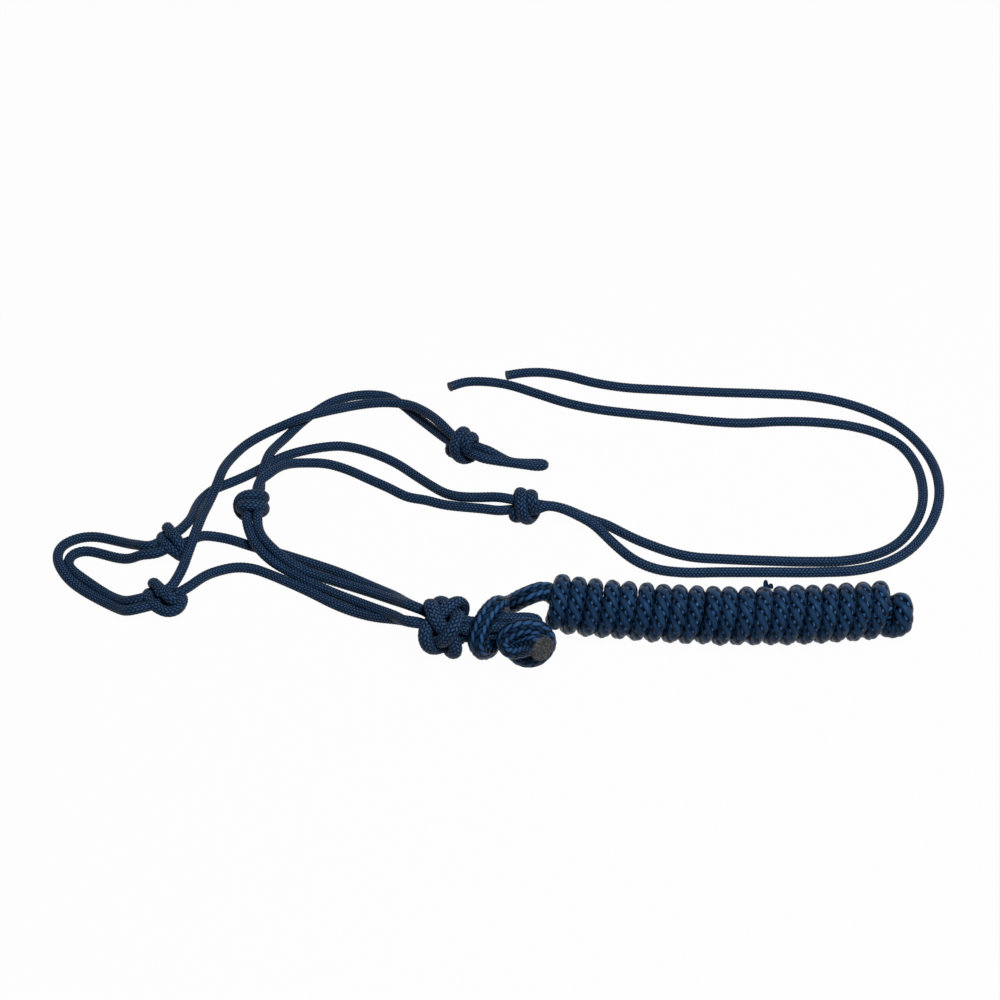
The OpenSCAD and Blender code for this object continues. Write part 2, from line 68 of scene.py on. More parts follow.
def curve_through(points):
    """A smooth curve through the points, with slopes weighted by the chords on each side."""
    p = np.array(points, float)
    chord = np.linalg.norm(np.diff(p, axis=0), axis=1)
    step = np.diff(p, axis=0) / chord[:, None]
    slope = np.empty_like(p)
    slope[0] = step[0]
    slope[-1] = step[-1]
    before = chord[:-1, None]
    after = chord[1:, None]
    slope[1:-1] = (step[1:] * before + step[:-1] * after) / (before + after)
    t = np.linspace(0, 1, CURVE_STEPS, endpoint=False)[:, None]
    pieces = []
    for i, d in enumerate(chord):
        pieces.append(
            (2 * t**3 - 3 * t**2 + 1) * p[i] + (t**3 - 2 * t**2 + t) * slope[i] * d
            + (3 * t**2 - 2 * t**3) * p[i + 1] + (t**3 - t**2) * slope[i + 1] * d)
    return np.vstack(pieces + [p[-1:]])


def lengths_along(p):
    return np.concatenate([[0], np.cumsum(np.linalg.norm(np.diff(p, axis=0), axis=1))])


def evenly(p, step):
    """The line with its points a fixed distance apart."""
    s = lengths_along(p)
    n = max(2, int(round(s[-1] / step)) + 1)
    at = np.linspace(0, s[-1], n)
    return np.column_stack([np.interp(at, s, p[:, k]) for k in range(3)])


def eased(p, passes):
    """The line with its small kinks worked out, ends kept."""
    for _ in range(passes):
        p = p.copy()
        p[1:-1] = 0.25 * p[:-2] + 0.5 * p[1:-1] + 0.25 * p[2:]
    return p


def rope_line(points, step, passes=12):
    return eased(evenly(curve_through(points), step), passes)


def frames_along(p, first, closed=False):
    """Directions along a line, and one steady pair of side directions at each point."""
    if closed:
        along = np.roll(p, -1, axis=0) - np.roll(p, 1, axis=0)
    else:
        along = np.gradient(p, axis=0)
    along /= np.linalg.norm(along, axis=1)[:, None]
    side = np.empty_like(p)
    n = np.array(first, float)
    for i, t in enumerate(along):
        n = n - t * n.dot(t)
        n /= np.linalg.norm(n)
        side[i] = n
    return along, side, np.cross(along, side)


# Braid

# How far a strand's back falls off at its edges, how high that back is, and how deep the gaps are
STRAND_FALL = 0.97
STRAND_BACK = 0.6
GAP = 0.15
# The height of the braid that lies on the rope's radius, and the least fullness of a rounded end
MEAN_HEIGHT = 0.72
END_LEAST = 0.02
# How far the braid still shows where a rope is pressed on the floor, in millimetres
PRESSED = 0.05


def braid(angle, s, pitch, kind):
    """Height of a braid's surface from 0 to 1, which of the two ways its top strand runs, and that strand.

    Each strand goes over so many of the other way and under as many. A bias lets one way ride higher."""
    carriers = kind["carriers"]
    cross = kind.get("cross", carriers)
    swing = kind.get("swing", 0.4)
    weave = math.pi / kind.get("over", 2)
    crown = kind.get("crown", 0.5)
    turn = angle / (2 * math.pi)
    a = carriers * (turn + s / (carriers * pitch))
    b = cross * (turn - s / (carriers * pitch))
    ia = np.floor(a)
    ib = np.floor(b)
    round_a = (1 - STRAND_FALL * (2 * (a - ia) - 1) ** 2) ** crown
    round_b = (1 - STRAND_FALL * (2 * (b - ib) - 1) ** 2) ** crown
    high_a = STRAND_BACK * round_a + swing * np.sin(weave * (b + ia)) + kind["bias"]
    high_b = STRAND_BACK * round_b - swing * np.sin(weave * (a + ib))
    first = high_a > high_b
    height = np.clip((np.where(first, high_a, high_b) + GAP) / (1 + GAP), 0, 1)
    strand = np.where(first, np.mod(ia, carriers), carriers + np.mod(ib, cross))
    return height, first.astype(float), strand.astype(int)


# Each rope: radius, strands that run each way, length of one stitch, depth of the braid, how much higher the
# strands of one way ride, vertices round the rope, distance between its rings
CORD = dict(r=CORD_R - 0.15, carriers=12, pitch=2.8, depth=0.7, bias=0, round=54, step=0.5)
LEAD = dict(r=LEAD_R, carriers=12, pitch=5.4, depth=1.6, bias=0.14, round=84, step=0.7)
# Wound up, the lead's braid twists, and the strands that run one way cover all but glints of the others.
# cross is how many run the other way, swing how far strands rise and dip, over how many they pass at a time,
# twist the turn in a millimetre, crown how narrow their backs are, and the last how much lighter the others'
# colour is made, a painted highlight
WOUND = dict(LEAD, carriers=4, cross=8, pitch=11.8, depth=1.5, bias=0.4, swing=0.05, over=1, twist=0.081,
             crown=1.0, painted_glint=0.6)


def rounded_off(distance, over):
    """How full a rope is at a distance from its end, which is rounded over a length."""
    t = np.clip(distance / over, 0, 1)
    return np.sqrt(np.clip(1 - (1 - t) ** 2, END_LEAST, 1))


def rope_mesh(name, p, kind, material, first=(0, 0, 1), closed=False, sides=None, ends=(0, 0), squash=None):
    """A braided rope along p, in millimetres of the route's own frame.

    sides gives the side directions where they matter. squash gives two factors for each point, out and
    across. ends rounds each end over that length."""
    along, u, w = frames_along(p, first, closed)
    if sides is not None:
        u = sides - along * np.sum(sides * along, axis=1)[:, None]
        u /= np.linalg.norm(u, axis=1)[:, None]
        w = np.cross(along, u)
    n = len(p)
    m = kind["round"]
    s = lengths_along(p)
    angle = 2 * math.pi * np.arange(m) / m
    pitch = kind["pitch"]
    if closed:
        total = s[-1] + np.linalg.norm(p[0] - p[-1])
        pitch = total / (4 * max(1, round(total / (4 * pitch))))
    turned = angle[None, :] + kind.get("twist", 0) * s[:, None]
    height, way, strand = braid(turned, s[:, None], pitch, kind)
    taper = np.ones(n)
    if ends[0]:
        taper *= rounded_off(s, ends[0])
    if ends[1]:
        taper *= rounded_off(s[-1] - s, ends[1])
    r = taper[:, None] * (kind["r"] + kind["depth"] * (height - MEAN_HEIGHT))
    out = np.ones(n) if squash is None else squash[0]
    wide = np.ones(n) if squash is None else squash[1]
    v = (p[:, None, :] + (r * np.cos(angle) * out[:, None])[:, :, None] * u[:, None, :]
         + (r * np.sin(angle) * wide[:, None])[:, :, None] * w[:, None, :])
    v[:, :, 2] = np.maximum(v[:, :, 2], PRESSED * height)
    v = ((v - MIDDLE) * MM).reshape(-1, 3)

    rings = n if closed else n - 1
    i = np.arange(rings)[:, None]
    i_next = (i + 1) % n
    k = np.arange(m)[None, :]
    k_next = (k + 1) % m
    corners = [i * m + k, i * m + k_next, i_next * m + k_next, i_next * m + k]
    quads = np.stack(corners, axis=-1).reshape(-1, 4)
    faces = quads.tolist()
    if not closed:
        faces.append(list(range(m))[::-1])
        faces.append(list(range((n - 1) * m, n * m)))
    mesh = bpy.data.meshes.new(name + "_rope")
    mesh.from_pydata(v.tolist(), [], faces)
    mesh.shade_smooth()

    # One map runs round and along the rope in millimetres, and one colour holds what the braid does there:
    # first a painted shade and highlight level, dark in the gaps between strands and light on their backs,
    # then the way of the top strand, then its own tone
    corner = np.empty(len(mesh.loops), np.int32)
    mesh.loops.foreach_get("vertex_index", corner)
    ring = corner // m
    place = corner % m
    round_mm = place / m * 2 * math.pi * kind["r"]
    along_mm = s[ring]
    # The map's last column of quads ends at the full way round, not back at 0
    seam = np.zeros(len(corner), bool)
    seam[:quads.size].reshape(-1, 4)[quads[:, 1] % m == 0, 1:3] = True
    round_mm[seam] = 2 * math.pi * kind["r"]
    uv = mesh.uv_layers.new(name="rope")
    uv.data.foreach_set("uv", np.column_stack([round_mm, along_mm]).astype(np.float32).ravel())
    colour = mesh.color_attributes.new("braid", "FLOAT_COLOR", "POINT")
    rng = np.random.default_rng(len(name) * 7 + n)
    tone = rng.random(kind["carriers"] + kind.get("cross", kind["carriers"]))
    # Painted shade and highlight: the braid's height, lifted further on the strands of the second way as
    # painted highlights where they peek out
    painted_shade_and_glint = height + kind.get("painted_glint", 0) * (1 - way)
    value = np.stack([painted_shade_and_glint, way, tone[strand], np.ones_like(height)], axis=-1)
    colour.data.foreach_set("color", value.astype(np.float32).ravel())

    piece = bpy.data.objects.new(name + "_rope", mesh)
    bpy.context.collection.objects.link(piece)
    mesh.materials.append(material)
    return piece


def joined(name, pieces):
    """Several meshes as one piece."""
    bpy.ops.object.select_all(action="DESELECT")
    for piece in pieces:
        piece.select_set(True)
    bpy.context.view_layer.objects.active = pieces[0]
    bpy.ops.object.join()
    pieces[0].name = name + "_rope"
    pieces[0].data.name = name + "_rope"
    return pieces[0]


def metres(point):
    return tuple((np.array(point, float) - MIDDLE) * MM)


# Materials

def node(tree, kind, x, y, **inputs):
    made = tree.nodes.new(kind)
    made.location = (x, y)
    for name, value in inputs.items():
        made.inputs[name].default_value = value
    return made


def maths(tree, operation, x, y):
    made = node(tree, "ShaderNodeMath", x, y)
    made.operation = operation
    return made


def fresh_material(name):
    """A material with nothing in its node tree."""
    material = bpy.data.materials.new(name)
    material.use_nodes = True
    material.node_tree.nodes.clear()
    return material, material.node_tree, material.node_tree.links.new


def three_tones(tree, x, y, places, tones):
    """A ramp through a dark, a middle and a light colour."""
    ramp = node(tree, "ShaderNodeValToRGB", x, y)
    elements = ramp.color_ramp.elements
    elements[0].position = places[0]
    elements[0].color = (*tones[0], 1)
    elements[1].position = places[2]
    elements[1].color = (*tones[2], 1)
    between = elements.new(places[1])
    between.color = (*tones[1], 1)
    return ramp


def bumped(tree, x, y, strength, distance):
    return node(tree, "ShaderNodeBump", x, y, Strength=strength, Distance=distance)


# How the fibres slant in each strand, and how they are drawn out along it
FIBRE_TILT = 0.72
FIBRE_DRAWN = 0.22
# Bluish gloss of the yarn
YARN_GLOSS = (0.2, 0.5, 1, 1)


def rope_material(name, tones, roughness, fibre, shine, painted_sheen):
    """Braided yarn: painted shade between the strands, painted highlights on their backs, fine fibres along
    each strand.

    fibre is how fine these are. The last argument is a painted sheen: how much lighter the strands of one way
    are than the other's."""
    material, tree, link = fresh_material(name)
    out = node(tree, "ShaderNodeOutputMaterial", 1100, 0)
    shader = node(tree, "ShaderNodeBsdfPrincipled", 800, 0)
    link(shader.outputs["BSDF"], out.inputs["Surface"])
    shader.inputs["Specular IOR Level"].default_value = shine
    shader.inputs["Specular Tint"].default_value = YARN_GLOSS

    braided = node(tree, "ShaderNodeVertexColor", -1100, 200)
    braided.layer_name = "braid"
    parts = node(tree, "ShaderNodeSeparateColor", -900, 200)
    link(braided.outputs["Color"], parts.inputs["Color"])
    place = node(tree, "ShaderNodeUVMap", -1300, -300)
    place.uv_map = "rope"

    # Fibres follow the strand that lies on top, so each way has its own stretched noise
    fibres = []
    for y, tilt in ((-300, FIBRE_TILT), (-700, -FIBRE_TILT)):
        turned = node(tree, "ShaderNodeMapping", -1100, y, Rotation=(0, 0, tilt))
        stretched = node(tree, "ShaderNodeMapping", -920, y, Scale=(fibre, FIBRE_DRAWN * fibre, 1))
        noise = node(tree, "ShaderNodeTexNoise", -740, y, Scale=1.0, Detail=3.0, Roughness=0.6)
        link(place.outputs["UV"], turned.inputs["Vector"])
        link(turned.outputs["Vector"], stretched.inputs["Vector"])
        link(stretched.outputs["Vector"], noise.inputs["Vector"])
        fibres.append(noise)
    either = node(tree, "ShaderNodeMix", -520, -400)
    either.data_type = "FLOAT"
    link(parts.outputs["Green"], either.inputs[0])
    link(fibres[1].outputs["Fac"], either.inputs[2])
    link(fibres[0].outputs["Fac"], either.inputs[3])

    # Painted shade and highlight: the colour runs from the dark tone in the gaps between strands to the light
    # tone on their backs and on the painted highlights of peeking strands; the fibres add real grain
    ramp = three_tones(tree, -300, 300, (0.15, 0.7, 1.0), tones)
    lift = maths(tree, "MULTIPLY_ADD", -620, 300)
    lift.inputs[1].default_value = 0.5
    lift.inputs[2].default_value = -0.25
    link(either.outputs[0], lift.inputs[0])
    total = maths(tree, "ADD", -460, 300)
    link(parts.outputs["Red"], total.inputs[0])
    link(lift.outputs[0], total.inputs[1])
    link(total.outputs[0], ramp.inputs["Fac"])

    # Yarns differ a little from one another, and the dye drifts along the rope
    drift = node(tree, "ShaderNodeTexNoise", -520, 620, Scale=0.03, Detail=2.0)
    link(place.outputs["UV"], drift.inputs["Vector"])
    both = maths(tree, "ADD", -300, 560)
    link(parts.outputs["Blue"], both.inputs[0])
    link(drift.outputs["Fac"], both.inputs[1])
    value = node(tree, "ShaderNodeMapRange", -100, 560)
    value.inputs["From Min"].default_value = 0.2
    value.inputs["From Max"].default_value = 1.6
    value.inputs["To Min"].default_value = 0.82
    value.inputs["To Max"].default_value = 1.2
    link(both.outputs[0], value.inputs["Value"])
    # Painted sheen: the strands of one way are made lighter than those of the other, standing in for the
    # gloss along their fibres
    painted_sheen_factor = maths(tree, "MULTIPLY_ADD", -100, 760)
    painted_sheen_factor.inputs[1].default_value = painted_sheen
    painted_sheen_factor.inputs[2].default_value = 1 - 0.5 * painted_sheen
    link(parts.outputs["Green"], painted_sheen_factor.inputs[0])
    shade = maths(tree, "MULTIPLY", 60, 620)
    link(value.outputs["Result"], shade.inputs[0])
    link(painted_sheen_factor.outputs[0], shade.inputs[1])
    tint = node(tree, "ShaderNodeHueSaturation", 240, 300)
    link(shade.outputs[0], tint.inputs["Value"])
    link(ramp.outputs["Color"], tint.inputs["Color"])
    link(tint.outputs["Color"], shader.inputs["Base Color"])

    rough = node(tree, "ShaderNodeMapRange", 120, -120)
    rough.inputs["From Min"].default_value = 0.25
    rough.inputs["From Max"].default_value = 0.75
    rough.inputs["To Min"].default_value = roughness + 0.14
    rough.inputs["To Max"].default_value = roughness - 0.1
    link(either.outputs[0], rough.inputs["Value"])
    link(rough.outputs["Result"], shader.inputs["Roughness"])
    bump = bumped(tree, 500, -300, 0.55, 0.0004)
    link(either.outputs[0], bump.inputs["Height"])
    link(bump.outputs["Normal"], shader.inputs["Normal"])
    return material


def seal_material(name, tones):
    """Melted ends of yarn, hatched by the cut ends of the fibres."""
    material, tree, link = fresh_material(name)
    out = node(tree, "ShaderNodeOutputMaterial", 700, 0)
    shader = node(tree, "ShaderNodeBsdfPrincipled", 400, 0)
    shader.inputs["Roughness"].default_value = 0.62
    shader.inputs["Specular IOR Level"].default_value = 0.3
    link(shader.outputs["BSDF"], out.inputs["Surface"])
    place = node(tree, "ShaderNodeTexCoord", -900, 0)
    stretched = node(tree, "ShaderNodeMapping", -700, 0)
    stretched.inputs["Rotation"].default_value = (0.3, 0.5, 0.6)
    stretched.inputs["Scale"].default_value = (300, 900, 900)
    link(place.outputs["Object"], stretched.inputs["Vector"])
    hatch = node(tree, "ShaderNodeTexNoise", -480, 0, Scale=1.0, Detail=4.0, Roughness=0.6)
    link(stretched.outputs["Vector"], hatch.inputs["Vector"])
    ramp = three_tones(tree, -240, 100, (0.36, 0.52, 0.68), tones)
    link(hatch.outputs["Fac"], ramp.inputs["Fac"])
    link(ramp.outputs["Color"], shader.inputs["Base Color"])
    bump = bumped(tree, 100, -200, 0.8, 0.0005)
    link(hatch.outputs["Fac"], bump.inputs["Height"])
    link(bump.outputs["Normal"], shader.inputs["Normal"])
    return material


# Each yarn's dark, middle and light tones, the dark being painted shade in the gaps and the light a painted
# highlight on the strands' backs, then its roughness, fineness of fibre, shine and painted sheen between the
# two ways. The wound lead is the lead's yarn again, with its painted sheen turned the other way
cord_yarn = rope_material(
    "halter_cord", ((0.0001, 0.0004, 0.0011), (0.0023, 0.0065, 0.0175), (0.036, 0.079, 0.165)),
    0.45, 5.0, 0.11, 0.15)
lead_yarn = rope_material(
    "lead_rope", ((0.0001, 0.0003, 0.0008), (0.0006, 0.0024, 0.0075), (0.017, 0.053, 0.130)),
    0.30, 3.6, 0.13, 1.0)
wound_yarn = rope_material(
    "wound_lead", ((0.0001, 0.0002, 0.0005), (0.0006, 0.0024, 0.0075), (0.022, 0.068, 0.165)),
    0.28, 3.6, 0.13, -0.8)
melted_lead = seal_material(
    "melted_lead", ((0.005, 0.006, 0.007), (0.028, 0.030, 0.034), (0.120, 0.123, 0.130)))
melted_cord = seal_material(
    "melted_cord", ((0.006, 0.010, 0.018), (0.016, 0.027, 0.046), (0.040, 0.060, 0.095)))


# Knots

# An overhand knot's cords lie this far from its axis; half its wound length, and how far it reaches
CORE_R = KNOT_PITCH / math.sqrt(2)
KNOT_LEAD = 2.06 * KNOT_PITCH
KNOT_TURN = 270
KNOT_HALF = KNOT_LEAD * KNOT_TURN / 720
BIGHT = KNOT_PITCH / 2
KNOT_STUB = 2.4
KNOT_REACH = KNOT_HALF + BIGHT + KNOT_D / 2 + KNOT_STUB
# A cord runs straight this far out of a knot's front
STRAIGHT = 5.6

# Each overhand knot: its centre, and the direction of its front in degrees. The throat knot's wraps are seen
# a little to the left of its solid
OFF_NOSE = ((-257, -60), 42)
NEAR_NOSE = ((-257, -119), 20)
THROAT = ((-194, -17), 85)
THROAT_SEEN = ((-197, -18.5), 85)
TIE = ((-30, 49), 150)
CROWN = ((20, -21), 165)


def round_axis(x, r, degrees):
    a = math.radians(degrees)
    return np.array([x, r * math.cos(a), r * math.sin(a)])


def plan(degrees):
    a = math.radians(degrees)
    return np.array([math.cos(a), math.sin(a), 0])


def in_knot(knot, q):
    """A point given along a knot's own axis, in the route's frame."""
    (x, y), heading = knot
    return np.array([x, y, KNOT_Z]) + q[0] * plan(heading) + q[1] * plan(heading + 90) + [0, 0, q[2]]


# A wrap's turn and the place of its middle in degrees, its distance from the axis, and the share that dives
WRAP_TURN = 340
WRAP_START = 20
WRAP_MID_R = 10.3
WRAP_DIVE = 0.14
# How full the cord lies in a wrap, measured outward
WRAP_FULL = 1.02
# Points on a wrap that goes through stops, and how often its kinks are eased
STOP_POINTS = 240
STOP_PASSES = 160
# How often the kinks of a wrap through points of its own are eased
POINT_PASSES = 16


def ease_in(t):
    t = np.clip(t, 0, 1)
    return t * t * (3 - 2 * t)


def round_knot(knot, x, r, angle):
    """A line round a knot's axis, and the way out of the knot at each point."""
    own = np.column_stack([x, r * np.cos(angle), r * np.sin(angle)])
    line = np.array([in_knot(knot, q) for q in own])
    away = np.array([np.cos(a) * plan(knot[1] + 90) + np.sin(a) * np.array([0, 0, 1]) for a in angle])
    return line, away


def wrap_line(knot, half_turn, lead):
    """One cord's way round a knot, diving into the core at both ends.

    half_turn says how far round, in degrees, its middle lies, and lead how far along a full turn goes."""
    t = np.linspace(0, 1, 160)
    angle = math.radians(WRAP_START + half_turn) - math.radians(WRAP_TURN) * (t - 0.5)
    x = 0.5 * lead * WRAP_TURN / 360 * (1 - 2 * t)
    r = CORE_R + (WRAP_MID_R - CORE_R) * ease_in(np.minimum(t, 1 - t) / WRAP_DIVE)
    return round_knot(knot, x, r, angle)


def along_with(raw, values, line):
    """Values given at the points of one line, carried over to the points of another that follows it."""
    s = lengths_along(raw)
    at = np.linspace(0, s[-1], len(line))
    return np.column_stack([np.interp(at, s, values[:, k]) for k in range(values.shape[1])])


def wrap_through(knot, stops):
    """A cord's way round a knot through stops: degrees round it, place along its axis, distance from that."""
    stops = np.array(stops, float)
    t = np.linspace(0, len(stops) - 1, STOP_POINTS)
    degrees, x, r = (np.interp(t, np.arange(len(stops)), row) for row in stops.T)
    line, away = round_knot(knot, x, r, np.radians(degrees))
    return eased(line, STOP_PASSES), away


def overhand(name, ways, wide):
    """The wraps of an overhand knot, each a line and the way out of the knot along it."""
    wraps = []
    for raw, away in ways:
        line = evenly(raw, CORD["step"])
        even = np.ones(len(line))
        wraps.append(rope_mesh(name, line, CORD, cord_yarn, sides=along_with(raw, away, line),
                               squash=(WRAP_FULL * even, wide * even)))
    piece = joined(name, wraps)
    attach(piece, "halter")
    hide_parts(name)


def core_back(knot, left):
    """Points from the middle of a knot to its back end, where a cord leaves it."""
    side = 0 if left else 180
    return [in_knot(knot, round_axis(x, CORE_R, side)) for x in (1, -KNOT_HALF, -KNOT_REACH)]


def core_front(knot, high):
    """Points from the middle of a knot to its front, then one more straight out."""
    side = 90 if high else 270
    places = (-1, KNOT_HALF, KNOT_REACH, KNOT_REACH + STRAIGHT)
    return [in_knot(knot, round_axis(x, CORE_R, side)) for x in places]


# The fiador knot

FIADOR = np.array([-41.0, -153.0])
FIADOR_HEADING = -10
FIADOR_LEN = 32
CORE_PITCH = 8.3
KNOT_GAP = 0.3
KNOT_FLAT = 0.64
WEAVE_RISE = 0.53 * KNOT_D
WEAVE_R = CORE_PITCH / math.sqrt(2) + KNOT_D / 2 + KNOT_GAP + KNOT_D / 2 + WEAVE_RISE
WEAVE_HALF = 11
WEAVE_START = 20
WEAVE_ROUNDS = 3
WEAVE_BIGHTS = 4
WEAVE_FULL = 1.05
WEAVE_WIDE = 1.35
FIADOR_Z = WEAVE_R + WEAVE_RISE + KNOT_D / 2 - KNOT_FLAT
FIADOR_REACH = FIADOR_LEN / 2 + 3


def in_fiador(x, y, z):
    return (np.array([*FIADOR, FIADOR_Z]) + x * plan(FIADOR_HEADING)
            + y * plan(FIADOR_HEADING + 90) + np.array([0, 0, z]))


def fiador_core(side, high, places):
    return [in_fiador(x, side * CORE_PITCH / 2, high * CORE_PITCH / 2) for x in places]


def weave_line():
    """The closed way of the fiador knot's outer cord, over and under itself."""
    t = np.radians(np.arange(0, 360, 0.4))
    r = WEAVE_R + WEAVE_RISE * np.sin(2 * WEAVE_BIGHTS * t)
    a = WEAVE_ROUNDS * t + math.radians(WEAVE_START)
    x = WEAVE_HALF * np.cos(WEAVE_BIGHTS * t)
    return np.array([in_fiador(*q) for q in np.column_stack([x, r * np.cos(a), r * np.sin(a)])])


# Routes of the cords, in millimetres; each starts inside a knot, and all but the two tails end in one

OFF_OUTER_HINGE = (-276.5, -64, KNOT_Z)
OFF_INNER_HINGE = (-276.5, -73, KNOT_Z)
NEAR_INNER_HINGE = (-276.5, -121, KNOT_Z)
NEAR_OUTER_HINGE = (-276.5, -131, KNOT_Z)
CROWN_LONG_HINGE = (42, -21, KNOT_Z)
TIE_BACK_HINGE = (-9.5, 43, KNOT_Z)
TIE_FRONT_HINGE = (-14.5, 34.4, KNOT_Z)
LEAD_HINGE = (23, -130, 31)
# Short names for the two heights that the routes use most: on the floor, and over a cord that lies on it
F = FLOOR_Z
O = OVER_Z
# Places along the fiador knot where a cord goes in
INTO_FIADOR = (-FIADOR_REACH - 6.4, -FIADOR_REACH, -2)

